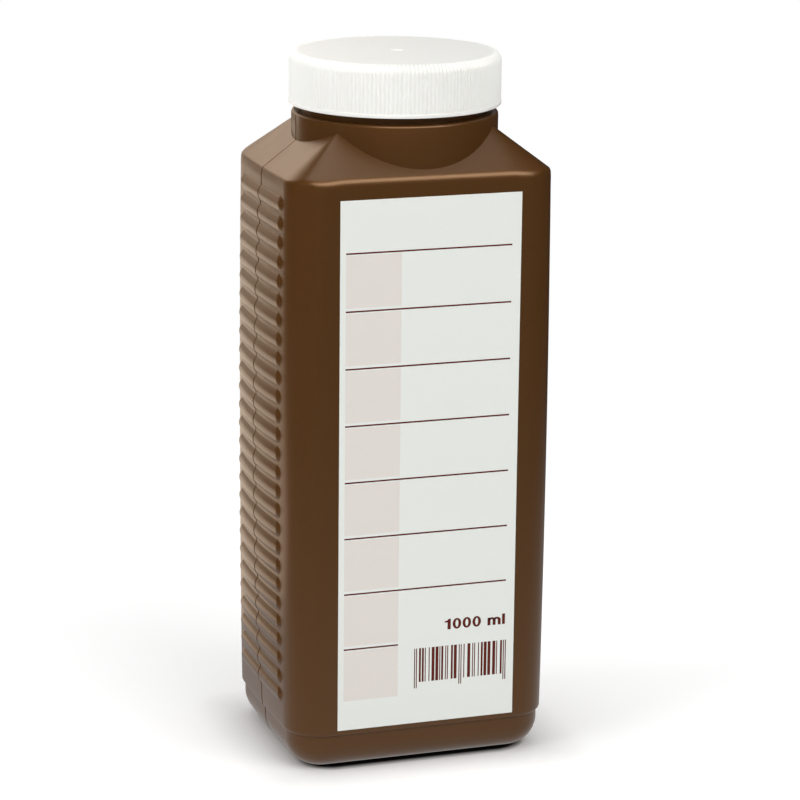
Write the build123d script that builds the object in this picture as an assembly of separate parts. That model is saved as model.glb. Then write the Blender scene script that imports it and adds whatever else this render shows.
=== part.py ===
from build123d import *
import math
import os

# Wide-mouth storage bottle of rectangular section, 1000 ml, with a screw cap, the cap's sealing
# disc and a writing label. Origin: centre of the footprint on the standing plane, +Z up, label
# towards -Y, ribbed grip sides towards -X and +X. All sizes in millimetres.

# --- body
BODY_WIDTH = 84.0          # across the ribbed sides, at foot and shoulder
BODY_DEPTH = 68.0          # across the flat label faces
CORNER_R = 12.0            # upright corners
SIDE_BOW = 0.7             # the upright corners swell outwards by this at mid-height
CROWN_END = 0.25           # a side panel's middle stands proud by this at its ends
CROWN_MID = 1.6            # ... and by this at mid-height
WALL = 1.2
BASE_WALL = 1.5
FOOT_H = 11.5              # height of the set-in foot
FOOT_INSET = 1.0
FOOT_R = 9.0               # round between foot and base
PUSH_UP = 1.8              # rise of the hollow in the base
STAND_W = 4.5              # width of the flat ring it stands on
PINCH_W = 1.0              # pinch-off seam across the base
PINCH_H = 0.6

# --- shoulder, collar and neck
SHOULDER_Z = 185.0         # where slopes and walls would meet if sharp
SLOPE = 34.6               # degrees above level
HIP_R = 6.0
SHOULDER_R = 2.8
COLLAR_R = 31.6
COLLAR_Z = 200.0           # top of the collar
COLLAR_EDGE_R = 0.9
NECK_R = 28.6              # root of the neck's thread
NECK_WALL = 2.1
RIM_Z = 215.4
RIM_EDGE_R = 0.5

# --- grip ribs
RIBS = 27
RIB_PITCH = 5.92
RIB_TOP_Z = 176.2          # centre of the highest rib
RIB_W = 4.35
RIB_H = 1.1
RIB_LENGTH = 43.0
RIB_END_SLOPE = 60.0       # degrees of the end cone away from the panel's normal
RIB_END_R = 2.05           # of the end cone where it meets the panel
RIB_SINK = 0.5             # depth of a rib's root inside the panel

# --- screw thread, right-handed, shared by neck and cap
LEAD = 5.0
THREAD_H = 1.3
THREAD_ROOT_W = 2.0
THREAD_CREST_W = 0.9
THREAD_SINK = 0.3
NECK_TURNS = 1.25
CAP_TURNS = 1.0
NECK_THREAD_Z = 206.0      # lower end of the neck thread's centre line
THREAD_STEP = 1.6          # the cap's thread runs this far below the neck's
THREAD_GAP = 0.3           # crest of each thread to the root of the other

# --- cap
CAP_Z = 202.2
CAP_TOP_Z = 218.0
CAP_R = 32.35              # over the knurls
CAP_EDGE_R = 2.8
CAP_TOP_WALL = 1.6
KNURLS = 160
KNURL_H = 0.3
KNURL_SHARE = 0.55         # of the pitch that is ridge
KNURL_SINK = 0.2           # root of each ridge inside the skirt
KNURL_FADE = 0.1           # drop of a ridge's own edge round, so that it runs out below the top
LIP_H = 1.3                # plain band at the foot of the skirt
LIP_PROUD = 0.1            # ... and how far it stands out past the knurls
LIP_EDGE_R = 0.35
DIMPLE_R = 2.2
DIMPLE_H = 0.35
GATE_R = 0.9
GATE_H = 0.3

# --- sealing disc
LINER_T = 1.0
LINER_GAP = 0.3            # to the cap's inner wall

# --- label
LABEL_W = 57.2
LABEL_Z0 = 13.7
LABEL_Z1 = 179.1
LABEL_X = 0.5              # the label's middle, right of the bottle's
LABEL_T = 0.12

# --- derived
HALF_W = BODY_WIDTH / 2
HALF_D = BODY_DEPTH / 2
PANEL_HALF = HALF_D - CORNER_R           # where a side panel passes into the corner round
MID_Z = (FOOT_H + SHOULDER_Z) / 2
OVERLAP = 3.0                            # one block's reach into the next before they are joined
RISE = math.tan(math.radians(SLOPE))
THREAD_OUTER_R = NECK_R + THREAD_H
CAP_INNER_R = THREAD_OUTER_R + THREAD_GAP
LINER_R = CAP_INNER_R - LINER_GAP
BORE_R = NECK_R - NECK_WALL


def swell(z):
    """0 at foot and shoulder, 1 at mid-height, along a parabola."""
    return max(0.0, 1 - ((z - MID_Z) / (MID_Z - FOOT_H)) ** 2)


def edge_x(z):
    """Half-width where a side panel passes into the corner rounds."""
    return HALF_W + SIDE_BOW * swell(z)


def middle_x(z):
    """Half-width at the middle of the side panels."""
    return edge_x(z) + CROWN_END + (CROWN_MID - CROWN_END) * swell(z)


def body_outline(z, inset):
    """Plan of the body at height z: flat front and back, crowned sides, rounded corners."""
    middle = middle_x(z) - inset
    depth = HALF_D - inset
    sag = (middle_x(z) - edge_x(z)) * (HALF_D / PANEL_HALF) ** 2
    with BuildSketch(Plane.XY.offset(z)) as plan:
        with BuildLine():
            Line((sag - middle, -depth), (middle - sag, -depth))
            ThreePointArc((middle - sag, -depth), (middle, 0), (middle - sag, depth))
            Line((middle - sag, depth), (sag - middle, depth))
            ThreePointArc((sag - middle, depth), (-middle, 0), (sag - middle, -depth))
        make_face()
        fillet(plan.vertices(), CORNER_R - inset)
    return plan.sketch.face()


def tall_hull(z_low, inset, sections=6):
    """The side walls, lofted from z_low to above the shoulder."""
    z_high = SHOULDER_Z + 20
    heights = [z_low + (z_high - z_low) * i / (sections - 1) for i in range(sections)]
    return Solid.make_loft([body_outline(z, inset).outer_wire() for z in heights])


def roof(inset):
    """Everything under the four shoulder slopes, each moved square to itself by inset."""
    drop = 60
    spread = drop / RISE - inset / math.sin(math.radians(SLOPE))
    with BuildPart() as hipped:
        with BuildSketch(Plane.XY.offset(SHOULDER_Z - drop)):
            Rectangle(2 * (HALF_W + spread), 2 * (HALF_D + spread))
        extrude(amount=drop + 17, taper=90 - SLOPE)
    return hipped.part.solid()


def shouldered(hull, inset):
    """Cut the hull off under the slopes, then round its hips and its shoulder edge."""
    size = 400
    above = Pos(0, 0, SHOULDER_Z - 30 + size / 2) * Box(size, size, size)
    shape = (hull - (above - roof(inset))).solid()

    def lies_on_hip(edge):
        a, b = edge.start_point(), edge.end_point()
        return edge.geom_type == GeomType.LINE and min(a.Z, b.Z) > SHOULDER_Z - 5 and abs(a.Z - b.Z) > 5

    def lies_on_shoulder(edge):
        top = max(edge.start_point().Z, edge.end_point().Z)
        return SHOULDER_Z - 5 < edge.center().Z and top < SHOULDER_Z + 7

    shape = shape.fillet(HIP_R - inset, [e for e in shape.edges() if lies_on_hip(e)])
    return shape.fillet(SHOULDER_R - inset, [e for e in shape.edges() if lies_on_shoulder(e)])


def foot(inset, z_low, z_high):
    """The set-in foot with its rounded base, reaching up into the hull."""
    plan = body_outline(FOOT_H, FOOT_INSET + inset)
    block = extrude(Pos(0, 0, z_low - FOOT_H) * plan, amount=z_high - z_low)
    return block.solid().fillet(FOOT_R - inset, block.edges().group_by(Axis.Z)[0])


def base_hollow(inset):
    """The push-up under the base: a shallow tapered pocket inside the standing ring."""
    margin = FOOT_INSET + FOOT_R + STAND_W - inset
    with BuildPart() as pocket:
        with BuildSketch():
            RectangleRounded(BODY_WIDTH - 2 * margin, BODY_DEPTH - 2 * margin, CORNER_R / 2)
        extrude(amount=PUSH_UP, taper=45)
    return pocket.part.solid()


def grip_rib(z):
    """One rib on the +X side: a flat arched bar that follows the panel's crown, its ends cut to cones."""
    x = middle_x(z)
    crown = x - edge_x(z)
    crown_r = (PANEL_HALF ** 2 + crown ** 2) / (2 * crown)
    arch_r = (RIB_W ** 2 / 4 + RIB_H ** 2) / (2 * RIB_H)
    half_root = math.sqrt(arch_r ** 2 - (arch_r - RIB_H - RIB_SINK) ** 2)
    foot_low, foot_high = (x - RIB_SINK, z - half_root), (x - RIB_SINK, z + half_root)
    with BuildSketch(Plane.XZ) as section:
        with BuildLine():
            ThreePointArc(foot_low, (x + RIB_H, z), foot_high)
            Line(foot_high, foot_low)
        make_face()
    axis = Axis((x - crown_r, 0, 0), (0, 0, 1))
    sweep_angle = math.degrees((RIB_LENGTH + 4 * RIB_SINK) / crown_r)
    bar = revolve(section.sketch.face().rotate(axis, -sweep_angle / 2), axis, sweep_angle)

    end_y = RIB_LENGTH / 2 - RIB_END_R
    end_x = x - end_y ** 2 / (2 * crown_r)
    flare = math.tan(math.radians(RIB_END_SLOPE))
    depth = RIB_SINK + crown
    cone = Rot(0, 90, 0) * Rot(0, 0, 90) * Cone(RIB_END_R + depth * flare, 0, RIB_END_R / flare + depth,
                                                align=(Align.CENTER, Align.CENTER, Align.MIN))
    keep = Pos(x, 0, z) * Box(4 * RIB_H + 2 * crown, 2 * end_y, 2 * RIB_W)
    for y in (-end_y, end_y):
        keep += Pos(end_x - depth, y, z) * cone
    return (bar & keep).solid()


def thread(root_r, outward, z_start, turns):
    """A helical ridge of trapezoid section standing outward (+1) or inward (-1) from root_r."""
    path = Helix(LEAD, LEAD * turns, root_r, center=(0, 0, z_start))
    flank = (THREAD_ROOT_W - THREAD_CREST_W) / 2 / THREAD_H
    buried = THREAD_ROOT_W / 2 + THREAD_SINK * flank
    with BuildSketch(Plane(origin=path @ 0, x_dir=(outward, 0, 0), z_dir=path % 0)) as section:
        with BuildLine():
            Polyline((-THREAD_SINK, -buried), (THREAD_H, -THREAD_CREST_W / 2),
                     (THREAD_H, THREAD_CREST_W / 2), (-THREAD_SINK, buried), close=True)
        make_face()
    return sweep(section.sketch.face(), path=path, is_frenet=True).solid()


def disc(radius, z_low, z_high):
    return Pos(0, 0, z_low) * Cylinder(radius, z_high - z_low,
                                       align=(Align.CENTER, Align.CENTER, Align.MIN))


def bottle_outside():
    hull = tall_hull(FOOT_H, 0)
    hull = hull.chamfer(FOOT_INSET * 0.9, None, hull.edges().group_by(Axis.Z)[0])
    shape = shouldered(hull, 0)
    collar = disc(COLLAR_R, SHOULDER_Z - 15, COLLAR_Z)
    collar = collar.solid().fillet(COLLAR_EDGE_R, collar.edges().group_by(Axis.Z)[-1])
    neck = disc(NECK_R, COLLAR_Z - 5, RIM_Z)
    neck = neck.solid().fillet(RIM_EDGE_R, neck.edges().group_by(Axis.Z)[-1])
    return shape.fuse(foot(0, 0, FOOT_H + OVERLAP), collar, neck).solid()


def bottle_inside():
    step_z = FOOT_H + WALL + FOOT_INSET
    hull = shouldered(tall_hull(step_z, WALL), WALL)
    room = hull.fuse(foot(WALL, BASE_WALL, step_z + OVERLAP),
                     disc(COLLAR_R - WALL, SHOULDER_Z - 15, COLLAR_Z - WALL),
                     disc(BORE_R, COLLAR_Z - 5, RIM_Z + 1))
    return room.solid() - Pos(0, 0, BASE_WALL) * base_hollow(BASE_WALL)


def make_bottle():
    shape = bottle_outside()
    ribs = [grip_rib(RIB_TOP_Z - i * RIB_PITCH) for i in range(RIBS)]
    shape = shape.fuse(*ribs, *[r.mirror(Plane.YZ) for r in ribs]).solid()
    shape = (shape - base_hollow(0)).solid()
    seam_length = BODY_WIDTH - 2 * (FOOT_INSET + FOOT_R + STAND_W + PUSH_UP)
    shape += Pos(0, 0, PUSH_UP - PINCH_H / 2) * Box(seam_length, PINCH_W, PINCH_H)
    shape = (shape - bottle_inside()).solid()
    return shape.fuse(thread(NECK_R, 1, NECK_THREAD_Z, NECK_TURNS)).solid()


def cap_blank():
    """The cap's outer skin without its knurls: skirt, rounded top edge, dimple with gate mark."""
    root_r = CAP_R - KNURL_H
    blank = disc(root_r, CAP_Z, CAP_TOP_Z)
    blank = blank.solid().fillet(CAP_EDGE_R, blank.edges().group_by(Axis.Z)[-1])
    lip = disc(CAP_R + LIP_PROUD, CAP_Z, CAP_Z + LIP_H)
    lip = lip.solid().fillet(LIP_EDGE_R, lip.edges())
    blank = blank.fuse(lip).solid() - disc(DIMPLE_R, CAP_TOP_Z - DIMPLE_H, CAP_TOP_Z)
    return blank + disc(GATE_R, CAP_TOP_Z - DIMPLE_H, CAP_TOP_Z - DIMPLE_H + GATE_H)


def knurl():
    """One ridge of the grip, running up the skirt and fading out over the rounded edge."""
    bend_r = CAP_R - CAP_EDGE_R
    bend_z = CAP_TOP_Z - CAP_EDGE_R - KNURL_FADE
    root_r = CAP_R - KNURL_H - KNURL_SINK
    with BuildSketch(Plane.XZ) as profile:
        with BuildLine():
            CenterArc((bend_r, bend_z), CAP_EDGE_R, 0, 90)
            Polyline((bend_r, bend_z + CAP_EDGE_R), (bend_r, bend_z), (root_r, bend_z),
                     (root_r, CAP_Z + LIP_H / 2), (CAP_R, CAP_Z + LIP_H / 2), (CAP_R, bend_z))
        make_face()
    return revolve(profile.sketch.face(), Axis.Z, 360 / KNURLS * KNURL_SHARE).solid()


def make_cap():
    ridge = knurl()
    shape = cap_blank().solid().fuse(*[ridge.rotate(Axis.Z, 360 * i / KNURLS) for i in range(KNURLS)])
    shape = shape.solid() - disc(CAP_INNER_R, CAP_Z - 1, CAP_TOP_Z - CAP_TOP_WALL)
    return shape.solid().fuse(thread(CAP_INNER_R, -1, NECK_THREAD_Z - THREAD_STEP, CAP_TURNS)).solid()


def make_liner():
    return disc(LINER_R, RIM_Z, RIM_Z + LINER_T).solid()


def make_label():
    height = LABEL_Z1 - LABEL_Z0
    return (Pos(LABEL_X, -HALF_D - LABEL_T / 2, LABEL_Z0 + height / 2)
            * Box(LABEL_W, LABEL_T, height)).solid()


NODES = {
    "bottle_body": make_bottle,
    "screw_cap": make_cap,
    "cap_liner": make_liner,
    "front_label": make_label,
}

if __name__ == "__main__":
    os.makedirs("parts", exist_ok=True)
    for name, make in NODES.items():
        export_step(make(), f"parts/{name}.step")
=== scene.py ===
import math
import random

import bmesh
import bpy
from mathutils import Matrix, Vector


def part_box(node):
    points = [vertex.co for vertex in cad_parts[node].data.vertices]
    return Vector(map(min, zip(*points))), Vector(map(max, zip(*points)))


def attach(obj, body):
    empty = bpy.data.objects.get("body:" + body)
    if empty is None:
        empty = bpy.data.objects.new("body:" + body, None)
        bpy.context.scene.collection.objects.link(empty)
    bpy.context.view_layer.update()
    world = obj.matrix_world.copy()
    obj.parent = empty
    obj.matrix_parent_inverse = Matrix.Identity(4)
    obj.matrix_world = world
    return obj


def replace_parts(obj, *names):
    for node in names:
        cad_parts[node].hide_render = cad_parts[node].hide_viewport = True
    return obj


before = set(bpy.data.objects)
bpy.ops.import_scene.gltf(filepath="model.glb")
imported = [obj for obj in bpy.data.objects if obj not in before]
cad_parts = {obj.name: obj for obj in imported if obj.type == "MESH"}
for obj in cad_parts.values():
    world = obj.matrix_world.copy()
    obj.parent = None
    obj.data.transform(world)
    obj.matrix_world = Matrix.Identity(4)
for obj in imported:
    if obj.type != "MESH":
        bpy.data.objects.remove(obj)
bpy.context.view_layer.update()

MM = 0.001


# ---------------------------------------------------------------- helpers

def linear(hex_code, alpha=1.0):
    """An sRGB hex colour as Blender's linear RGBA."""
    parts = [int(hex_code[i:i + 2], 16) / 255 for i in (1, 3, 5)]
    return [c / 12.92 if c <= 0.04045 else ((c + 0.055) / 1.055) ** 2.4 for c in parts] + [alpha]


def add(tree, kind, inputs=None, **settings):
    """Adds a node. inputs holds values for its sockets or the sockets that feed them."""
    node = tree.nodes.new(kind)
    for name, value in settings.items():
        setattr(node, name, value)
    for socket, value in (inputs or {}).items():
        if isinstance(value, bpy.types.NodeSocket):
            tree.links.new(value, node.inputs[socket])
        else:
            node.inputs[socket].default_value = value
    return node


def new_material(name):
    material = bpy.data.materials.new(name)
    material.use_nodes = True
    material.node_tree.nodes.clear()
    return material, material.node_tree


def finish_surface(tree, **principled):
    """Puts a Principled surface on the material, with the given sockets."""
    shader = add(tree, "ShaderNodeBsdfPrincipled", principled)
    add(tree, "ShaderNodeOutputMaterial", {"Surface": shader.outputs[0]})


def mesh_from(bm, name):
    mesh = bpy.data.meshes.new(name)
    bm.to_mesh(mesh)
    bm.free()
    return mesh


def put_in_scene(obj):
    bpy.context.scene.collection.objects.link(obj)


def wear(obj, material):
    obj.data.materials.clear()
    obj.data.materials.append(material)


def new_piece(name, mesh, body, material):
    piece = bpy.data.objects.new(name, mesh)
    put_in_scene(piece)
    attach(piece, body)
    wear(piece, material)
    return piece


# ---------------------------------------------------------------- materials

def brown_hdpe():
    """Blow-moulded HDPE with brown masterbatch: an opaque satin skin. The blasted mould leaves a fine
    grain, and the stretched parison faint upright bands."""
    grain = 0.55 * MM
    band = 7 * MM
    material, tree = new_material("blow_moulded_hdpe_brown")
    place = add(tree, "ShaderNodeTexCoord").outputs["Object"]
    fine = add(tree, "ShaderNodeTexNoise",
               {"Vector": place, "Scale": 1 / grain, "Detail": 2.0, "Roughness": 0.6}).outputs["Fac"]
    upright = add(tree, "ShaderNodeMapping", {"Vector": place, "Scale": (1, 1, 0.04)})
    bands = add(tree, "ShaderNodeTexNoise",
                {"Vector": upright.outputs[0], "Scale": 1 / band, "Detail": 3.0}).outputs["Fac"]
    mottled = add(tree, "ShaderNodeMix", {"Factor": fine, "A": linear("#4a2c0c"), "B": linear("#53320f")},
                  data_type="RGBA").outputs["Result"]
    banded = add(tree, "ShaderNodeMix", {"Factor": bands, "A": mottled, "B": linear("#4e2f0d")},
                 data_type="RGBA").outputs["Result"]
    rough = add(tree, "ShaderNodeMapRange", {"Value": bands, "To Min": 0.29, "To Max": 0.35}).outputs[0]
    bump = add(tree, "ShaderNodeBump", {"Height": fine, "Strength": 0.25, "Distance": 0.03 * MM}).outputs[0]
    finish_surface(tree, **{"Base Color": banded, "Roughness": rough, "Normal": bump, "IOR": 1.54,
                            "Specular Tint": linear("#ffe9d2")})
    return material


def white_pp():
    """Injection-moulded polypropylene, white: slightly translucent, with an eroded mould's soft gloss."""
    grain = 0.4 * MM
    material, tree = new_material("injection_moulded_pp_white")
    place = add(tree, "ShaderNodeTexCoord").outputs["Object"]
    fine = add(tree, "ShaderNodeTexNoise",
               {"Vector": place, "Scale": 1 / grain, "Detail": 2.0}).outputs["Fac"]
    colour = add(tree, "ShaderNodeMix", {"Factor": fine, "A": linear("#efefeb"), "B": linear("#f3f3ef")},
                 data_type="RGBA").outputs["Result"]
    bump = add(tree, "ShaderNodeBump", {"Height": fine, "Strength": 0.03, "Distance": 0.02 * MM}).outputs[0]
    finish_surface(tree, **{"Base Color": colour, "Roughness": 0.38, "IOR": 1.49, "Normal": bump,
                            "Subsurface Weight": 0.15, "Subsurface Scale": 1.0,
                            "Subsurface Radius": (1.2 * MM, 1.1 * MM, 1.0 * MM)})
    return material


def foam_disc():
    """Foamed polyethylene sealing disc: white and matt, with fine closed cells."""
    cell = 0.35 * MM
    material, tree = new_material("foamed_pe_disc")
    place = add(tree, "ShaderNodeTexCoord").outputs["Object"]
    cells = add(tree, "ShaderNodeTexVoronoi", {"Vector": place, "Scale": 1 / cell}).outputs["Distance"]
    colour = add(tree, "ShaderNodeMix", {"Factor": cells, "A": linear("#e4e4df"), "B": linear("#eeeeea")},
                 data_type="RGBA").outputs["Result"]
    bump = add(tree, "ShaderNodeBump", {"Height": cells, "Strength": 0.3, "Distance": 0.03 * MM}).outputs[0]
    finish_surface(tree, **{"Base Color": colour, "Roughness": 0.7, "Normal": bump})
    return material


def label_film():
    """Coated polypropylene film: pale grey-green white, matt, with a very fine surface grain."""
    grain = 0.5 * MM
    material, tree = new_material("matt_coated_label_film")
    place = add(tree, "ShaderNodeTexCoord").outputs["Object"]
    fine = add(tree, "ShaderNodeTexNoise",
               {"Vector": place, "Scale": 1 / grain, "Detail": 2.0}).outputs["Fac"]
    colour = add(tree, "ShaderNodeMix", {"Factor": fine, "A": linear("#e3e6e1"), "B": linear("#e7eae5")},
                 data_type="RGBA").outputs["Result"]
    bump = add(tree, "ShaderNodeBump", {"Height": fine, "Strength": 0.08, "Distance": 0.01 * MM}).outputs[0]
    finish_surface(tree, **{"Base Color": colour, "Roughness": 0.55, "Normal": bump})
    return material


def printing_ink(name, hex_low, hex_high):
    """Flexographic ink on the film: a thin matt coat, its tone a little uneven from the anilox screen."""
    screen = 0.4 * MM
    material, tree = new_material(name)
    place = add(tree, "ShaderNodeTexCoord").outputs["Object"]
    fine = add(tree, "ShaderNodeTexNoise",
               {"Vector": place, "Scale": 1 / screen, "Detail": 1.0}).outputs["Fac"]
    colour = add(tree, "ShaderNodeMix", {"Factor": fine, "A": linear(hex_low), "B": linear(hex_high)},
                 data_type="RGBA").outputs["Result"]
    finish_surface(tree, **{"Base Color": colour, "Roughness": 0.6, "Specular IOR Level": 0.25})
    return material


# ---------------------------------------------------------------- the blown body, sizes in mm

HALF_W = 42.0                   # of the plan at the foot, where the sides are straight
HALF_D = 34.0
CORNER_R = 12.0
SIDE_BOW = 0.69                 # how far the narrow sides stand out at mid height
CROWN_END = 0.25                # crown across a narrow side, at its upper and lower end
CROWN_MID = 1.6                 # the same at mid height
WALL = 1.2
BASE_WALL = 1.5

FOOT_TOP = 11.5
FOOT_INSET = 1.0
FOOT_R = 9.0
STAND_W = 4.5                   # the flat ring that the bottle stands on
PUSH_UP = 1.8                   # the hollow inside that ring
POCKET_R = 6.0
PINCH_W = 1.0
PINCH_H = 0.6
# how the foot runs out into the walls: height above FOOT_TOP, share of FOOT_INSET
FOOT_STEP = [(0.0, 1.0), (0.08, 0.93), (0.35, 0.62), (0.7, 0.25), (1.0, 0.06), (1.4, 0.0)]

SIDE_EAVE_Z = 184.0             # where wall and slope would meet if sharp
SIDE_RISE = math.tan(math.radians(37.0))
SIDE_EAVE_R = 1.3
FRONT_EAVE_Z = 184.8
FRONT_RISE = math.tan(math.radians(40.4))
FRONT_EAVE_R = 3.4
EAVE_Z = 184.4                  # the plan at the eaves is taken here
HIP_TOP_Z = 197.0
HIP_LOW = 12.0                  # the hips are wide over the corners and narrow at the collar
HIP_HIGH = 1.0

COLLAR_R = 31.6
COLLAR_Z = 200.0
COLLAR_EDGE_R = 0.9
COLLAR_FRONT_END = math.radians(-39.7)      # how the front's and the sides' columns share the collar
COLLAR_SIDE_END = math.radians(-30.4)
NECK_R = 28.6
BORE_R = 26.5
RIM_Z = 215.4
RIM_EDGE_R = 0.5

RIBS = 27
RIB_PITCH = 5.92
RIB_TOP_Z = 176.2
RIB_W = 4.8
RIB_H = 0.9
RIB_LENGTH = 43.0
RIB_END_R = 2.3
RIB_END_SLOPE = math.tan(math.radians(50))

LEAD = 5.0
THREAD_H = 1.3
THREAD_ROOT_W = 2.0
THREAD_CREST_W = 0.9
THREAD_Z = 206.0
THREAD_TURNS = 1.25

SEAM_STEP = 0.12                # mismatch of the mould halves
SEAM_FADE = 7.0                 # and how far it reaches
SEAM_HALF = 0.06                # columns beside the line
SEAM_EDGE = 0.16
SEAM_GROOVE = 0.12

SHARP = math.radians(28)        # edges that bend more than this are drawn sharp
PANEL_HALF = HALF_D - CORNER_R
MID_Z = (FOOT_TOP + EAVE_Z) / 2
ARCH_R = (RIB_W ** 2 / 4 + RIB_H ** 2) / (2 * RIB_H)
RIB_END_Y = RIB_LENGTH / 2 - RIB_END_R

FRONT_COLUMNS = 20
CORNER_COLUMNS = 8
# columns of a narrow side, from its middle: close together at the seam and round the ribs' ends
SIDE_STATIONS = [0, SEAM_HALF, SEAM_EDGE, 1.5, 4, 8, 12, 16, 19, RIB_END_Y, RIB_END_Y + 0.06,
                 19.75, 20.0, 20.25, 20.5, 20.75, 21.0, 21.2, 21.35, 21.5, 21.8]
# rows of a rib, from its middle
RIB_ROWS = [-RIB_W / 2, -2.15, -1.8, -1.25, -0.65, 0.0, 0.65, 1.25, 1.8, 2.15, RIB_W / 2]


def swell(z):
    return max(0.0, 1 - ((z - MID_Z) / (MID_Z - FOOT_TOP)) ** 2)


def panel_x(y, z):
    """Outer face of the right-hand side panel, without its ribs."""
    crown = CROWN_END + (CROWN_MID - CROWN_END) * swell(z)
    return HALF_W + SIDE_BOW * swell(z) + crown * (1 - (y / PANEL_HALF) ** 2)


def rib_rise(y, z):
    """Height of the grip ribs above the panel: arched bars whose ends are cones."""
    nearest = min(max(round((RIB_TOP_Z - z) / RIB_PITCH), 0), RIBS - 1)
    off = abs(z - RIB_TOP_Z + nearest * RIB_PITCH)
    if off >= RIB_W / 2:
        return 0.0
    arch = math.sqrt(ARCH_R ** 2 - off ** 2) - (ARCH_R - RIB_H)
    past = abs(y) - RIB_END_Y
    if past > 1e-6:
        arch = min(arch, (RIB_END_R - math.hypot(past, off)) / RIB_END_SLOPE)
    return max(arch, 0.0)


def outline(z, inset, ribbed=False):
    """Plan of the body at height z, as (x, y, outward normal), counter-clockwise from mid front."""
    radius = CORNER_R - inset
    tilt = 0.0
    for _ in range(4):      # turns the corner until it runs smoothly into the crowned side
        y_end = PANEL_HALF + radius * math.sin(tilt)
        tilt = math.atan(2 * (panel_x(0, z) - panel_x(PANEL_HALF, z)) * y_end / PANEL_HALF ** 2)
    centre_x = panel_x(y_end, z) - inset - radius * math.cos(tilt)
    quarter = []
    for i in range(FRONT_COLUMNS // 2):
        quarter.append((centre_x * 2 * i / FRONT_COLUMNS, inset - HALF_D, 0.0, -1.0))
    for i in range(CORNER_COLUMNS + 1):
        angle = -math.pi / 2 + (math.pi / 2 - tilt) * i / CORNER_COLUMNS
        quarter.append((centre_x + radius * math.cos(angle), -PANEL_HALF + radius * math.sin(angle),
                        math.cos(angle), math.sin(angle)))
    for y in reversed(SIDE_STATIONS):
        rise = rib_rise(y, z) if ribbed else 0.0
        quarter.append((panel_x(y, z) - inset + rise, -y, 1.0, 0.0))
    return around(quarter)


def around(quarter):
    """A full ring from its front-right quarter, by mirroring it to the back and to the left."""
    right = quarter + [(x, -y, nx, -ny) for x, y, nx, ny in quarter[-2::-1]]
    return right + [(-x, y, -nx, ny) for x, y, nx, ny in right[-2:0:-1]]


def rounded_rectangle(half_x, half_y, radius):
    """A ring with the body's columns, on a rounded rectangle."""
    middle_x, middle_y = half_x - radius, radius - half_y
    quarter = [(middle_x * 2 * i / FRONT_COLUMNS, -half_y, 0, -1) for i in range(FRONT_COLUMNS // 2)]
    for i in range(CORNER_COLUMNS + 1):
        angle = -math.pi / 2 * (1 - i / CORNER_COLUMNS)
        quarter.append((middle_x + radius * math.cos(angle), middle_y + radius * math.sin(angle), 0, 0))
    for y in reversed(SIDE_STATIONS):
        quarter.append((half_x, -y / PANEL_HALF * (half_y - radius), 1, 0))
    return around(quarter)


def collar_directions():
    """Unit vectors from the axis, one for each column, that spread the columns round the collar."""
    quarter = []
    for i in range(FRONT_COLUMNS // 2):
        quarter.append(-math.pi / 2 + (COLLAR_FRONT_END + math.pi / 2) * 2 * i / FRONT_COLUMNS)
    for i in range(CORNER_COLUMNS + 1):
        quarter.append(COLLAR_FRONT_END + (COLLAR_SIDE_END - COLLAR_FRONT_END) * i / CORNER_COLUMNS)
    for y in reversed(SIDE_STATIONS):
        quarter.append(COLLAR_SIDE_END * y / PANEL_HALF)
    return around([(math.cos(a), math.sin(a), 0, 0) for a in quarter])


def roof(x, y):
    """Height of the shoulder: four slopes that run into each other over the hips."""
    side = SIDE_EAVE_Z + SIDE_RISE * (HALF_W - abs(x))
    front = FRONT_EAVE_Z + FRONT_RISE * (HALF_D - abs(y))
    low = min(side, front)
    share = min(max((low - EAVE_Z) / (HIP_TOP_Z - EAVE_Z), 0), 1)
    width = HIP_LOW + (HIP_HIGH - HIP_LOW) * share
    return low - max(width - abs(side - front), 0) ** 2 / (4 * width)


def shoulder_rings(inset, drop, circle_r, rows, turn_steps):
    """From the top of the walls over the rounded eaves and up the slopes to a circle round the neck."""
    columns = []
    for (x, y, nx, ny), (cx, cy, _, _) in zip(outline(EAVE_Z, inset), collar_directions()):
        radius = max(SIDE_EAVE_R + (FRONT_EAVE_R - SIDE_EAVE_R) * ny ** 2 - inset, 0.5)
        edge_z = roof(x, y) - drop
        slope, reach = FRONT_RISE, radius
        for _ in range(3):
            turn = math.pi / 2 - math.atan(slope)
            reach = radius * (1 - math.cos(turn))
            slope = (roof(x - reach * nx, y - reach * ny) - drop - edge_z) / reach
        start_z = edge_z - radius * math.tan(turn / 2)
        column = []
        for i in range(turn_steps + 1):
            angle = turn * i / turn_steps
            in_by = radius * (1 - math.cos(angle))
            column.append((x - in_by * nx, y - in_by * ny, start_z + radius * math.sin(angle)))
        ax, ay, _ = column[-1]
        for i in range(1, rows + 1):
            t = i / rows
            px, py = ax + (circle_r * cx - ax) * t, ay + (circle_r * cy - ay) * t
            column.append((px, py, roof(px, py) - drop))
        columns.append(column)
    return [list(ring) for ring in zip(*columns)]


def level(ring, z):
    return [(point[0], point[1], z) for point in ring]


def circle(radius, z):
    return [(radius * x, radius * y, z) for x, y, _, _ in collar_directions()]


def with_seam(ring):
    """The front mould half stands back a little where the halves meet; a fine groove marks the line."""
    stepped = []
    for x, y, z in ring:
        on_side = abs(x) > COLLAR_R - 0.5
        sunk = SEAM_STEP * math.exp(y / SEAM_FADE) if on_side and y <= 0 else 0.0
        if on_side and abs(y) < SEAM_EDGE / 2:
            sunk += SEAM_GROOVE
        stepped.append((x - math.copysign(sunk, x), y, z))
    return stepped


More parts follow.
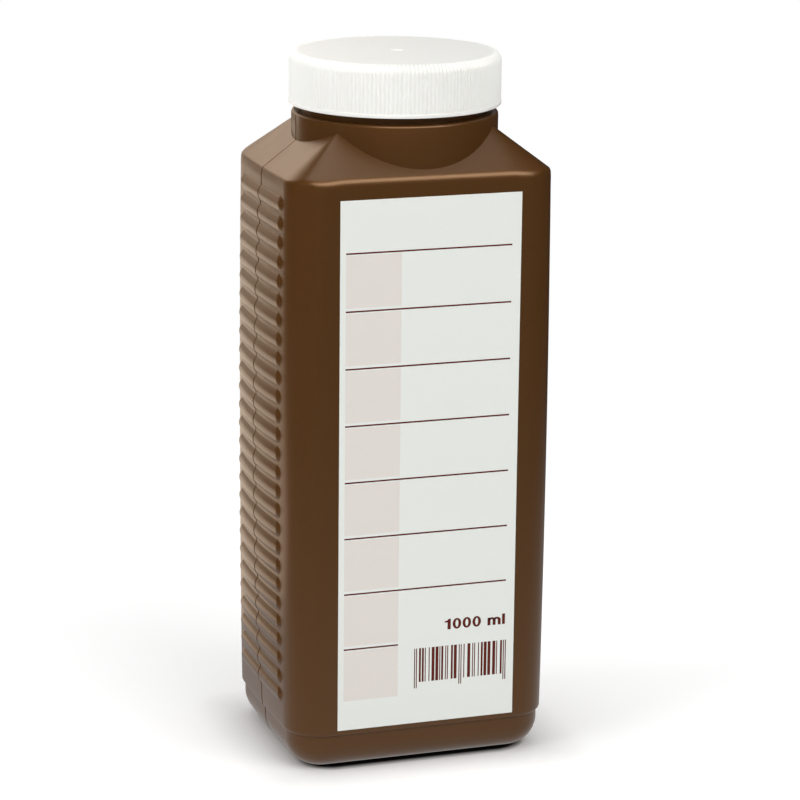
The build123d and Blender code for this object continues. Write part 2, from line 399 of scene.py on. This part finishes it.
def outer_rings():
    """From the middle of the base out, up the walls and over the shoulder to the rim."""
    stand = FOOT_INSET + FOOT_R + STAND_W
    pocket_x, pocket_y = HALF_W - stand, HALF_D - stand
    floor = rounded_rectangle(pocket_x - PUSH_UP, pocket_y - PUSH_UP, POCKET_R - PUSH_UP)
    rings = [level([(x / 2, y / 2) for x, y, _, _ in floor], PUSH_UP), level(floor, PUSH_UP),
             level(rounded_rectangle(pocket_x, pocket_y, POCKET_R), 0.0)]
    base_steps = 12
    for i in range(base_steps + 1):
        angle = math.pi / 2 * i / base_steps
        inset = FOOT_INSET + FOOT_R * (1 - math.sin(angle))
        rings.append(with_seam(level(outline(FOOT_TOP, inset), FOOT_R * (1 - math.cos(angle)))))
    for rise, share in FOOT_STEP:
        rings.append(with_seam(level(outline(FOOT_TOP, FOOT_INSET * share), FOOT_TOP + rise)))
    heights = [FOOT_TOP + 2.5, FOOT_TOP + 5.0]
    for i in reversed(range(RIBS)):
        middle = RIB_TOP_Z - i * RIB_PITCH
        heights += [middle + offset for offset in RIB_ROWS] + [middle + RIB_PITCH / 2]
    for z in heights:
        rings.append(with_seam(level(outline(z, 0.0, ribbed=True), z)))
    shoulder = shoulder_rings(0.0, 0.0, COLLAR_R, rows=14, turn_steps=7)
    walls_end = rings[-1]
    for share in (0.35, 0.7):
        rings.append([(x, y, z + (eave[2] - z) * share)
                      for (x, y, z), eave in zip(walls_end, shoulder[0])])
    rings += [with_seam(ring) for ring in shoulder]
    collar_foot, edge_z = rings[-1], COLLAR_Z - COLLAR_EDGE_R
    for share in (0.5, 1.0):
        rings.append([(x, y, z + (edge_z - z) * share) for x, y, z in collar_foot])
    for i in range(1, 6):
        angle = math.pi / 2 * i / 5
        rings.append(circle(COLLAR_R - COLLAR_EDGE_R * (1 - math.cos(angle)),
                            COLLAR_Z - COLLAR_EDGE_R * (1 - math.sin(angle))))
    rings += [circle(NECK_R, COLLAR_Z), circle(NECK_R, (COLLAR_Z + RIM_Z) / 2)]
    for i in range(5):
        angle = math.pi / 2 * i / 4
        rings.append(circle(NECK_R - RIM_EDGE_R * (1 - math.cos(angle)),
                            RIM_Z - RIM_EDGE_R * (1 - math.sin(angle))))
    return rings


def inner_rings():
    """From the rim down the bore and the inside to the middle of the floor."""
    thickness = WALL / math.cos(math.atan(FRONT_RISE))
    shoulder = shoulder_rings(WALL, thickness, COLLAR_R - WALL, rows=4, turn_steps=3)
    rings = [circle(BORE_R, RIM_Z), circle(BORE_R, COLLAR_Z - WALL),
             circle(COLLAR_R - WALL, COLLAR_Z - WALL)]
    rings += shoulder[::-1]
    for z in (160, MID_Z + 25, MID_Z - 25, 40, FOOT_TOP + WALL + FOOT_INSET):
        rings.append(level(outline(z, WALL), z))
    for i in range(7):
        angle = math.pi / 2 * (1 - i / 6)
        inner_r = FOOT_R - WALL
        inset = FOOT_INSET + WALL + inner_r * (1 - math.sin(angle))
        rings.append(level(outline(FOOT_TOP, inset), BASE_WALL + inner_r * (1 - math.cos(angle))))
    stand = FOOT_INSET + FOOT_R + STAND_W - BASE_WALL
    floor_x, floor_y = HALF_W - stand, HALF_D - stand
    rings.append(level(rounded_rectangle(floor_x, floor_y, POCKET_R), BASE_WALL))
    rings.append(level(rounded_rectangle(floor_x - PUSH_UP, floor_y - PUSH_UP, POCKET_R - PUSH_UP),
                       BASE_WALL + PUSH_UP))
    return rings


def skin(rings):
    """A closed mesh through rings of equal length, its two ends closed to a point."""
    bm = bmesh.new()
    loops = [[bm.verts.new([c * MM for c in point]) for point in ring] for ring in rings]
    for low, high in zip(loops, loops[1:]):
        for i in range(len(low)):
            j = (i + 1) % len(low)
            bm.faces.new((low[i], low[j], high[j], high[i]))
    for loop, flip in ((loops[0], True), (loops[-1], False)):
        middle = bm.verts.new((0, 0, loop[0].co.z))
        for i in range(len(loop)):
            a, b = loop[i], loop[(i + 1) % len(loop)]
            bm.faces.new((b, a, middle) if flip else (a, b, middle))
    return bm


def thread_ridge(bm, root_r, outward, low_z, turns):
    """A screw thread as a closed ridge on a wall of radius root_r, dying out at both ends."""
    steps, sink = 120, 0.4
    flank = (THREAD_ROOT_W - THREAD_CREST_W) / 2 / THREAD_H
    previous = None
    for i in range(steps + 1):
        turned = 2 * math.pi * turns * i / steps
        z = low_z + LEAD * turns * i / steps
        height = THREAD_H * (0.02 + 0.98 * min(1.0, 8 * i / steps, 8 * (steps - i) / steps))
        ring = []
        for out, half in ((-sink, THREAD_ROOT_W / 2 + sink * flank), (height, THREAD_CREST_W / 2)):
            radius = root_r + outward * out
            x, y = radius * math.cos(turned), radius * math.sin(turned)
            pair = [(x, y, z - half), (x, y, z + half)]
            ring += pair if out < 0 else pair[::-1]
        now = [bm.verts.new([c * MM for c in point]) for point in ring]
        if previous:
            for k in range(4):
                bm.faces.new((previous[k], now[k], now[(k + 1) % 4], previous[(k + 1) % 4]))
        else:
            bm.faces.new(now)
        previous = now
    bm.faces.new(previous[::-1])


def pinch_off(bm):
    """The seam under the base where the mould nipped the parison shut."""
    half_x = HALF_W - FOOT_INSET - FOOT_R - STAND_W - PUSH_UP
    rows = []
    for z, half_y in ((PUSH_UP - PINCH_H / 2, 0.6 * PINCH_W / 2), (PUSH_UP + PINCH_H / 2, PINCH_W / 2)):
        corners = [(-half_x, -half_y), (half_x, -half_y), (half_x, half_y), (-half_x, half_y)]
        rows.append([bm.verts.new((x * MM, y * MM, z * MM)) for x, y in corners])
    low, high = rows
    bm.faces.new(low[::-1])
    bm.faces.new(high)
    for k in range(4):
        bm.faces.new((low[k], low[(k + 1) % 4], high[(k + 1) % 4], high[k]))


def joined(name, shell, extra):
    """The mesh of two bmesh bodies made into one by a union."""
    parts = [bpy.data.objects.new(name, mesh_from(bm, name)) for bm in (shell, extra)]
    for part in parts:
        put_in_scene(part)
    union = parts[0].modifiers.new("union", "BOOLEAN")
    union.operation = "UNION"
    union.solver = "EXACT"
    union.object = parts[1]
    result = parts[0].evaluated_get(bpy.context.evaluated_depsgraph_get())
    whole = bpy.data.meshes.new_from_object(result)
    for part in parts:
        bpy.data.objects.remove(part)
    whole.shade_smooth()
    whole.set_sharp_from_angle(angle=SHARP)
    return whole


def blow_body(material):
    extra = bmesh.new()
    thread_ridge(extra, NECK_R, 1, THREAD_Z, THREAD_TURNS)
    pinch_off(extra)
    bmesh.ops.recalc_face_normals(extra, faces=extra.faces)
    whole = joined("bottle_shell", skin(outer_rings() + inner_rings()), extra)
    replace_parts(new_piece("bottle_shell", whole, "bottle", material), "bottle_body")


# ---------------------------------------------------------------- the cap, sizes in mm

CAP_Z = 202.2
CAP_TOP_Z = 218.0
CAP_R = 32.35
CAP_EDGE_R = 2.8
CAP_INNER_R = 30.2
CAP_TOP_WALL = 1.6
LIP_H = 1.3                     # the plain lip under the knurls
LIP_PROUD = 0.1
LIP_EDGE_R = 0.35
CAP_THREAD_Z = 204.4
CAP_TURNS = 1.0

KNURLS = 160
KNURL_H = 0.32
KNURL_COLUMNS = 6
KNURL_ENDS = math.radians(64), math.radians(84)     # where they run out, round the top edge
WITNESS_ANGLE = math.radians(214)                   # the split mould leaves a gap in the knurls here
WITNESS_COLUMNS = 4

DISH_R = 2.2                    # the gate's dimple in the middle of the top
DISH_H = 0.35
GATE_R = 0.7
GATE_H = 0.25


def cap_ring(radius, z, knurled=0.0, lean=0.0):
    """A ring round the cap. knurled scales the knurls' height, lean turns them from outward to upward."""
    count = KNURLS * KNURL_COLUMNS
    witness = WITNESS_ANGLE / (2 * math.pi) * count
    ring = []
    for i in range(count):
        angle = 2 * math.pi * i / count
        from_seam = abs((i - witness + count / 4) % (count / 2) - count / 4)
        wave = 0.0 if from_seam < WITNESS_COLUMNS / 2 else (0.5 + 0.5 * math.cos(angle * KNURLS)) ** 0.8
        rise = knurled * KNURL_H * wave
        out = radius + rise * math.cos(lean)
        up = min(z + rise * math.sin(lean), CAP_TOP_Z)
        ring.append((out * math.cos(angle), out * math.sin(angle), up))
    return ring


def cap_rings():
    """From the middle of the top's underside down the inside, round the lip and over the top."""
    root_r = CAP_R - KNURL_H
    lip_r = CAP_R + LIP_PROUD
    under_z = CAP_TOP_Z - CAP_TOP_WALL
    rings = [cap_ring(1.0, under_z), cap_ring(CAP_INNER_R, under_z), cap_ring(CAP_INNER_R, CAP_Z)]
    for middle_z, first in ((CAP_Z + LIP_EDGE_R, -90), (CAP_Z + LIP_H - LIP_EDGE_R, 0)):
        for i in range(5):
            angle = math.radians(first + 90 * i / 4)
            rings.append(cap_ring(lip_r - LIP_EDGE_R + LIP_EDGE_R * math.cos(angle),
                                  middle_z + LIP_EDGE_R * math.sin(angle)))
    bend_z = CAP_TOP_Z - CAP_EDGE_R
    for i in range(6):
        z = CAP_Z + LIP_H + (bend_z - CAP_Z - LIP_H) * i / 5
        rings.append(cap_ring(root_r, z, 1.0 if i else 0.9))
    start, end = KNURL_ENDS
    for i in range(1, 19):
        angle = math.pi / 2 * i / 18
        knurled = min(max((end - angle) / (end - start), 0), 1)
        rings.append(cap_ring(root_r - CAP_EDGE_R + CAP_EDGE_R * math.cos(angle),
                              bend_z + CAP_EDGE_R * math.sin(angle), knurled, angle))
    rings.append(cap_ring(DISH_R + 0.3, CAP_TOP_Z))
    for i in range(7):
        radius = DISH_R * (1 - i / 6) + GATE_R * i / 6
        hollow = 1 - ((radius - GATE_R) / (DISH_R - GATE_R)) ** 2
        rings.append(cap_ring(radius, CAP_TOP_Z - DISH_H * hollow))
    for share_r, share_h in ((0.9, 0.8), (0.5, 1.0)):
        rings.append(cap_ring(GATE_R * share_r, CAP_TOP_Z - DISH_H + GATE_H * share_h))
    return rings


def mould_cap(material):
    extra = bmesh.new()
    thread_ridge(extra, CAP_INNER_R, -1, CAP_THREAD_Z, CAP_TURNS)
    bmesh.ops.recalc_face_normals(extra, faces=extra.faces)
    shell = skin(cap_rings())
    bmesh.ops.recalc_face_normals(shell, faces=shell.faces)
    whole = joined("cap_shell", shell, extra)
    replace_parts(new_piece("cap_shell", whole, "cap", material), "screw_cap")


# ---------------------------------------------------------------- label print

INK_T = 0.01 * MM
RULES = 8
RULE_LEFT = 1.8                 # from the label's left edge, mm
RULE_RIGHT = 54.3
RULE_TOP = 16.0                 # from its upper edge
RULE_PITCH = 17.63
RULE_T = 0.5
FIELD_W = 17.5                  # the tinted field under each rule
FIELD_H = 16.0
FIELD_DROP = 0.6

BARS_LEFT = 24.6
BARS_W = 30.1
BARS_TOP = 24.2                 # above the label's lower edge
BAR_H = 11.0
GUARD_H = 12.9
MODULES = 95                    # widths of the narrowest bar
FIRST_BAR = 5
BARS_END = 92
CENTRE = 45, 50                 # kept free of bars for the middle guards
GUARDS = 0, 2, 46, 48, 92, 94

MARK_LEFT = 34.2
MARK_W = 20.05
MARK_LOW = 29.4                 # above the label's lower edge
MARK_H = 3.4


def plate(bm, x0, x1, z0, z1, y_back):
    """A thin printed patch: x0..x1 by z0..z1 in metres, standing INK_T proud of y_back."""
    corners = [(x0, z0), (x1, z0), (x1, z1), (x0, z1)]
    front = [bm.verts.new((x, y_back - INK_T, z)) for x, z in corners]
    back = [bm.verts.new((x, y_back, z)) for x, z in corners]
    bm.faces.new(front)
    bm.faces.new(back[::-1])
    for i in range(4):
        j = (i + 1) % 4
        bm.faces.new((front[j], front[i], back[i], back[j]))


def patches_mesh(name, rectangles, y_back):
    bm = bmesh.new()
    for x0, x1, z0, z1 in rectangles:
        plate(bm, x0, x1, z0, z1, y_back)
    return mesh_from(bm, name)


def arch(bm, middle, spring, outer, inner, start, end, steps):
    """A bent stroke between two ellipses about (middle, spring), from angle start to end."""
    previous = None
    for i in range(steps + 1):
        angle = math.radians(start + (end - start) * i / steps)
        now = [bm.verts.new((middle + rx * math.cos(angle), 0, spring + rz * math.sin(angle)))
               for rx, rz in (outer, inner)]
        if previous:
            bm.faces.new((previous[0], now[0], now[1], previous[1]))
        previous = now


def stroke(bm, *points):
    bm.faces.new([bm.verts.new((x, 0, z)) for x, z in points])


def write_contents(bm):
    """The words 1000 ml in bold grotesque letters of height 1, one ink coat thick; returns their width."""
    stem = 0.2
    gap = 0.09
    x_height = 0.73
    one_left = 0.24             # the figure one's stem, right of its flag
    one_right = one_left + stem + 0.02
    stroke(bm, (one_left, 0), (one_right, 0), (one_right, 1), (0.31, 1), (one_left, 0.87),
           (0.05, 0.8), (0.05, 0.67), (one_left, 0.67))
    x = one_right + gap + 0.04
    half_zero = 0.29
    for _ in range(3):
        arch(bm, x + half_zero, 0.5, (half_zero, 0.51), (0.1, 0.34), 0, 360, 32)
        x += 2 * half_zero + gap
    x += 0.36                   # the space between figure and unit
    pitch = 0.35                # of the three legs of the m
    spring = 0.45               # height where its arches start
    for leg in range(3):
        left = x + leg * pitch
        stroke(bm, (left, 0), (left + stem, 0), (left + stem, spring), (left, spring))
    reach = (pitch + stem) / 2
    for leg in range(2):
        arch(bm, x + leg * pitch + reach, spring, (reach, x_height + 0.02 - spring),
             (reach - stem, 0.12), 0, 180, 12)
    stroke(bm, (x, spring), (x + 0.18, spring), (x + 0.18, x_height), (x, x_height))
    x += 2 * pitch + stem + gap
    stroke(bm, (x, 0), (x + stem, 0), (x + stem, 1), (x, 1))
    bmesh.ops.remove_doubles(bm, verts=bm.verts, dist=1e-5)
    front = bmesh.ops.extrude_face_region(bm, geom=bm.faces[:])
    for element in front["geom"]:
        if isinstance(element, bmesh.types.BMVert):
            element.co.y += 1
    return x + stem


def bar_spots():
    """The bars as (first module, modules wide, height): a made-up pattern between guard bars."""
    draw = random.Random(7)
    bars = []
    spot = FIRST_BAR
    while spot < BARS_END:
        width = draw.choice((1, 1, 2, 2, 3, 4)) if not CENTRE[0] - 1 <= spot <= CENTRE[1] else 1
        width = min(width, BARS_END - spot - 1)
        if width > 0 and not (spot + width > CENTRE[0] and spot < CENTRE[1]):
            bars.append((spot, width, BAR_H))
        spot += width + draw.choice((1, 1, 2, 2, 3))
    return bars + [(guard, 1, GUARD_H) for guard in GUARDS]


def print_label(film):
    low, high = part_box("front_label")
    left, bottom, top, face = low.x, low.z, high.z, low.y
    sheet_front = face + INK_T

    bm = bmesh.new()
    bmesh.ops.create_cube(bm, size=1)
    for v in bm.verts:
        v.co.x = high.x if v.co.x > 0 else low.x
        v.co.y = high.y if v.co.y > 0 else sheet_front
        v.co.z = high.z if v.co.z > 0 else low.z
    sheet = new_piece("label_sheet", mesh_from(bm, "label_sheet"), "bottle", film)
    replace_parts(sheet, "front_label")

    def print_patches(name, rectangles, ink):
        new_piece(name, patches_mesh(name, rectangles, sheet_front), "bottle", ink)

    rules, fields = [], []
    for i in range(RULES):
        z = top - (RULE_TOP + i * RULE_PITCH) * MM
        right = RULE_RIGHT if i < RULES - 1 else RULE_LEFT + FIELD_W
        rules.append((left + RULE_LEFT * MM, left + right * MM, z - RULE_T / 2 * MM, z + RULE_T / 2 * MM))
        fields.append((left + RULE_LEFT * MM, left + (RULE_LEFT + FIELD_W) * MM,
                       z - (FIELD_DROP + FIELD_H) * MM, z - FIELD_DROP * MM))
    dark = printing_ink("red_brown_ink", "#560e03", "#601306")
    tint = printing_ink("pale_tint_ink", "#ddd7d1", "#e2dcd6")
    print_patches("label_rules", rules, dark)
    print_patches("label_fields", fields, tint)

    module = BARS_W / MODULES
    bars_left, bars_top = left + BARS_LEFT * MM, bottom + BARS_TOP * MM
    bars = []
    for spot, width, height in bar_spots():
        bars.append((bars_left + spot * module * MM, bars_left + (spot + width) * module * MM,
                     bars_top - height * MM, bars_top))
    print_patches("label_bars", bars, dark)

    mark = bmesh.new()
    scale_x = MARK_W * MM / write_contents(mark)
    scale_z = MARK_H * MM
    for v in mark.verts:
        v.co = (left + MARK_LEFT * MM + v.co.x * scale_x, sheet_front - v.co.y * INK_T,
                bottom + MARK_LOW * MM + v.co.z * scale_z)
    bmesh.ops.recalc_face_normals(mark, faces=mark.faces)
    new_piece("contents_mark", mesh_from(mark, "contents_mark"), "bottle", dark)


# ---------------------------------------------------------------- the object

hdpe, polypropylene, foam, film = brown_hdpe(), white_pp(), foam_disc(), label_film()
blow_body(hdpe)
mould_cap(polypropylene)
wear(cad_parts["cap_liner"], foam)
print_label(film)


# ---------------------------------------------------------------- stage, camera, light

AMBIENT = 0.38                  # strength of the sky's light
WHITE = (1, 1, 1, 1)
FLOOR_COLOUR = "#f6f6f6"
FLOOR_LIFT = 0.16               # glow that keeps the shadow pale, for the camera only
LIFT_WIDTH = 0.015              # it starts at the foot's edge and is full this far out
FOOTPRINT = (0.041, 0.033, 1.0)             # half sizes of the foot
SHADOW_START, SHADOW_END = 0.16, 0.42       # the floor fades into white between these distances
PAINTED_FOOT_SHADOW_COLOUR = "#202020"          # a dark shadow painted on the floor right under the foot, where the gap is too narrow for light
PAINTED_FOOT_SHADOW_HALF = (0.026, 0.0205, 1.0)
PAINTED_FOOT_SHADOW_START, PAINTED_FOOT_SHADOW_END = 0.008, 0.0115          # its soft edge: distances outside that half size
MIRRORED_NEAR, MIRRORED_FAR = 0.7, 0.03     # the floor's painted glow that only reflections see, near the object and far out
MIRRORED_START, MIRRORED_END = 0.05, 0.45   # distances of near and far
MIRRORED_SKY = 0.04             # the sky as a shiny surface sees it
REFLECTED_WARMTH = "#ffecd6"

CAMERA_PLACE = (-0.30928, -0.91184, 0.35744)
AZIMUTH = math.radians(18.887)
ELEVATION = math.radians(14.51)
ROLL = math.radians(0.606)
LENS = 143.35                   # mm, on a sensor 36 mm wide


def build_camera():
    forward = Vector((math.sin(AZIMUTH) * math.cos(ELEVATION), math.cos(AZIMUTH) * math.cos(ELEVATION),
                      -math.sin(ELEVATION)))
    right = forward.cross(Vector((0, 0, 1))).normalized()
    up = right.cross(forward)
    tilted_right = math.cos(ROLL) * right + math.sin(ROLL) * up
    tilted_up = math.cos(ROLL) * up - math.sin(ROLL) * right
    data = bpy.data.cameras.new("camera")
    data.sensor_width = 36.0
    data.lens = LENS
    camera = bpy.data.objects.new("camera", data)
    camera.matrix_world = Matrix.Translation(CAMERA_PLACE) @ Matrix((
        (tilted_right.x, tilted_up.x, -forward.x, 0),
        (tilted_right.y, tilted_up.y, -forward.y, 0),
        (tilted_right.z, tilted_up.z, -forward.z, 0),
        (0, 0, 0, 1)))
    put_in_scene(camera)
    bpy.context.scene.camera = camera


def distance_outside(tree, place, half_size):
    """How far a point lies outside a box about the origin, as a socket."""
    quadrant = add(tree, "ShaderNodeVectorMath", {0: place}, operation="ABSOLUTE")
    beyond = add(tree, "ShaderNodeVectorMath", {0: quadrant.outputs[0], 1: half_size}, operation="SUBTRACT")
    outside = add(tree, "ShaderNodeVectorMath", {0: beyond.outputs[0], 1: (0, 0, 0)}, operation="MAXIMUM")
    return add(tree, "ShaderNodeVectorMath", {0: outside.outputs[0]}, operation="LENGTH").outputs["Value"]


def build_floor():
    """A pale floor that keeps the object's soft shadow near it and fades into plain white further out, with
    a dark shadow painted right under the foot.
    Shiny surfaces see a painted glow on it instead, bright near the object and dim further out."""
    bm = bmesh.new()
    bmesh.ops.create_grid(bm, x_segments=1, y_segments=1, size=4.0)
    floor = bpy.data.objects.new("floor", mesh_from(bm, "floor"))
    put_in_scene(floor)
    material, tree = new_material("pale_studio_floor")
    place = add(tree, "ShaderNodeTexCoord").outputs["Object"]
    far = add(tree, "ShaderNodeVectorMath", {0: place}, operation="LENGTH").outputs["Value"]
    ray = add(tree, "ShaderNodeLightPath")
    seen = ray.outputs["Is Camera Ray"]

    # a dark shadow painted on the floor under the foot, with a soft edge
    outside_painted_foot_shadow = add(tree, "ShaderNodeMapRange", {"Value": distance_outside(tree, place, PAINTED_FOOT_SHADOW_HALF),
                                                "From Min": PAINTED_FOOT_SHADOW_START, "From Max": PAINTED_FOOT_SHADOW_END})
    floor_and_painted_foot_shadow = add(tree, "ShaderNodeMix", {"Factor": outside_painted_foot_shadow.outputs[0], "A": linear(PAINTED_FOOT_SHADOW_COLOUR),
                                        "B": linear(FLOOR_COLOUR)}, data_type="RGBA")
    matt = add(tree, "ShaderNodeBsdfDiffuse", {"Color": floor_and_painted_foot_shadow.outputs["Result"]})
    open_floor = add(tree, "ShaderNodeMapRange", {"Value": distance_outside(tree, place, FOOTPRINT),
                                                  "From Max": LIFT_WIDTH, "To Max": FLOOR_LIFT})
    lift_seen = add(tree, "ShaderNodeMath", {0: seen, 1: open_floor.outputs[0]}, operation="MULTIPLY")
    lift = add(tree, "ShaderNodeEmission", {"Color": WHITE, "Strength": lift_seen.outputs[0]})
    near = add(tree, "ShaderNodeAddShader", {0: matt.outputs[0], 1: lift.outputs[0]})

    fade = add(tree, "ShaderNodeMapRange",
               {"Value": far, "From Min": SHADOW_START, "From Max": SHADOW_END},
               interpolation_type="SMOOTHSTEP")
    share = add(tree, "ShaderNodeMath", {0: seen, 1: fade.outputs[0]}, operation="MULTIPLY")
    white = add(tree, "ShaderNodeEmission", {"Color": WHITE, "Strength": 1.0})
    shown = add(tree, "ShaderNodeMixShader", {0: share.outputs[0], 1: near.outputs[0], 2: white.outputs[0]})

    # a painted glow on the floor that only reflections see, bright near the object and dim further out
    glow = add(tree, "ShaderNodeMapRange",
               {"Value": far, "From Min": MIRRORED_START, "From Max": MIRRORED_END,
                "To Min": MIRRORED_NEAR, "To Max": MIRRORED_FAR})
    mirrored = add(tree, "ShaderNodeEmission", {"Color": WHITE, "Strength": glow.outputs[0]})
    either = add(tree, "ShaderNodeMixShader", {0: ray.outputs["Is Glossy Ray"], 1: shown.outputs[0],
                                               2: mirrored.outputs[0]})
    add(tree, "ShaderNodeOutputMaterial", {"Surface": either.outputs[0]})
    wear(floor, material)


def softbox(name, place, target, width, height, power, in_gloss):
    data = bpy.data.lights.new(name, "AREA")
    data.shape = "RECTANGLE"
    data.size = width
    data.size_y = height
    data.energy = power
    lamp = bpy.data.objects.new(name, data)
    lamp.location = place
    lamp.rotation_euler = (Vector(target) - Vector(place)).to_track_quat("-Z", "Y").to_euler()
    lamp.visible_glossy = in_gloss
    put_in_scene(lamp)


def reflector(name, place, turn, width, length, brightness):
    """A glowing card that only reflections show."""
    bm = bmesh.new()
    bmesh.ops.create_grid(bm, x_segments=1, y_segments=1, size=0.5)
    card = bpy.data.objects.new(name, mesh_from(bm, name))
    card.location = place
    card.rotation_euler = [math.radians(angle) for angle in turn]
    card.scale = (width, length, 1)
    card.visible_camera = card.visible_diffuse = card.visible_shadow = card.visible_transmission = False
    put_in_scene(card)
    material, tree = new_material("warm_glowing_card")
    glow = add(tree, "ShaderNodeEmission",
               {"Color": linear(REFLECTED_WARMTH), "Strength": brightness})
    add(tree, "ShaderNodeOutputMaterial", {"Surface": glow.outputs[0]})
    wear(card, material)


def build_light():
    world = bpy.data.worlds.new("white_tent")
    world.use_nodes = True
    world.node_tree.nodes.clear()
    bpy.context.scene.world = world
    tree = world.node_tree
    ray = add(tree, "ShaderNodeLightPath")
    lit = add(tree, "ShaderNodeMix",
              {"Factor": ray.outputs["Is Glossy Ray"], "A": AMBIENT, "B": MIRRORED_SKY},
              data_type="FLOAT")
    strength = add(tree, "ShaderNodeMix",
                   {"Factor": ray.outputs["Is Camera Ray"], "A": lit.outputs["Result"], "B": 1.0},
                   data_type="FLOAT")
    sky = add(tree, "ShaderNodeBackground", {"Color": WHITE, "Strength": strength.outputs["Result"]})
    add(tree, "ShaderNodeOutputWorld", {"Surface": sky.outputs[0]})
    middle = (0, 0, 0.11)
    softbox("left_softbox", (-1.35, -0.25, 0.7), middle, 1.0, 1.2, 10.5, in_gloss=False)
    softbox("top_softbox", (0.0, 0.1, 1.5), middle, 1.1, 1.1, 6.2, in_gloss=True)
    softbox("front_softbox", (0.5, -1.05, 1.3), middle, 1.2, 0.8, 11, in_gloss=False)
    softbox("backdrop_softbox", (-0.3, 1.7, 1.0), middle, 1.4, 0.8, 5.5, in_gloss=False)
    reflector("floor_card", (-0.17, 0.71, 0.001), (0, 0, 12), 0.46, 1.2, 1.45)
    reflector("backdrop_card", (-0.26, 1.7, 1.05), (90, 0, 8), 1.5, 0.7, 2.6)
    reflector("low_backdrop_card", (-0.31, 1.65, 0.36), (90, 0, 8), 1.5, 0.68, 0.85)
    reflector("front_card", (0.1, -1.25, 1.25), (50, 0, 4), 2.6, 0.9, 7.5)


build_camera()
build_floor()
build_light()
bpy.context.scene.view_settings.view_transform = "Standard"
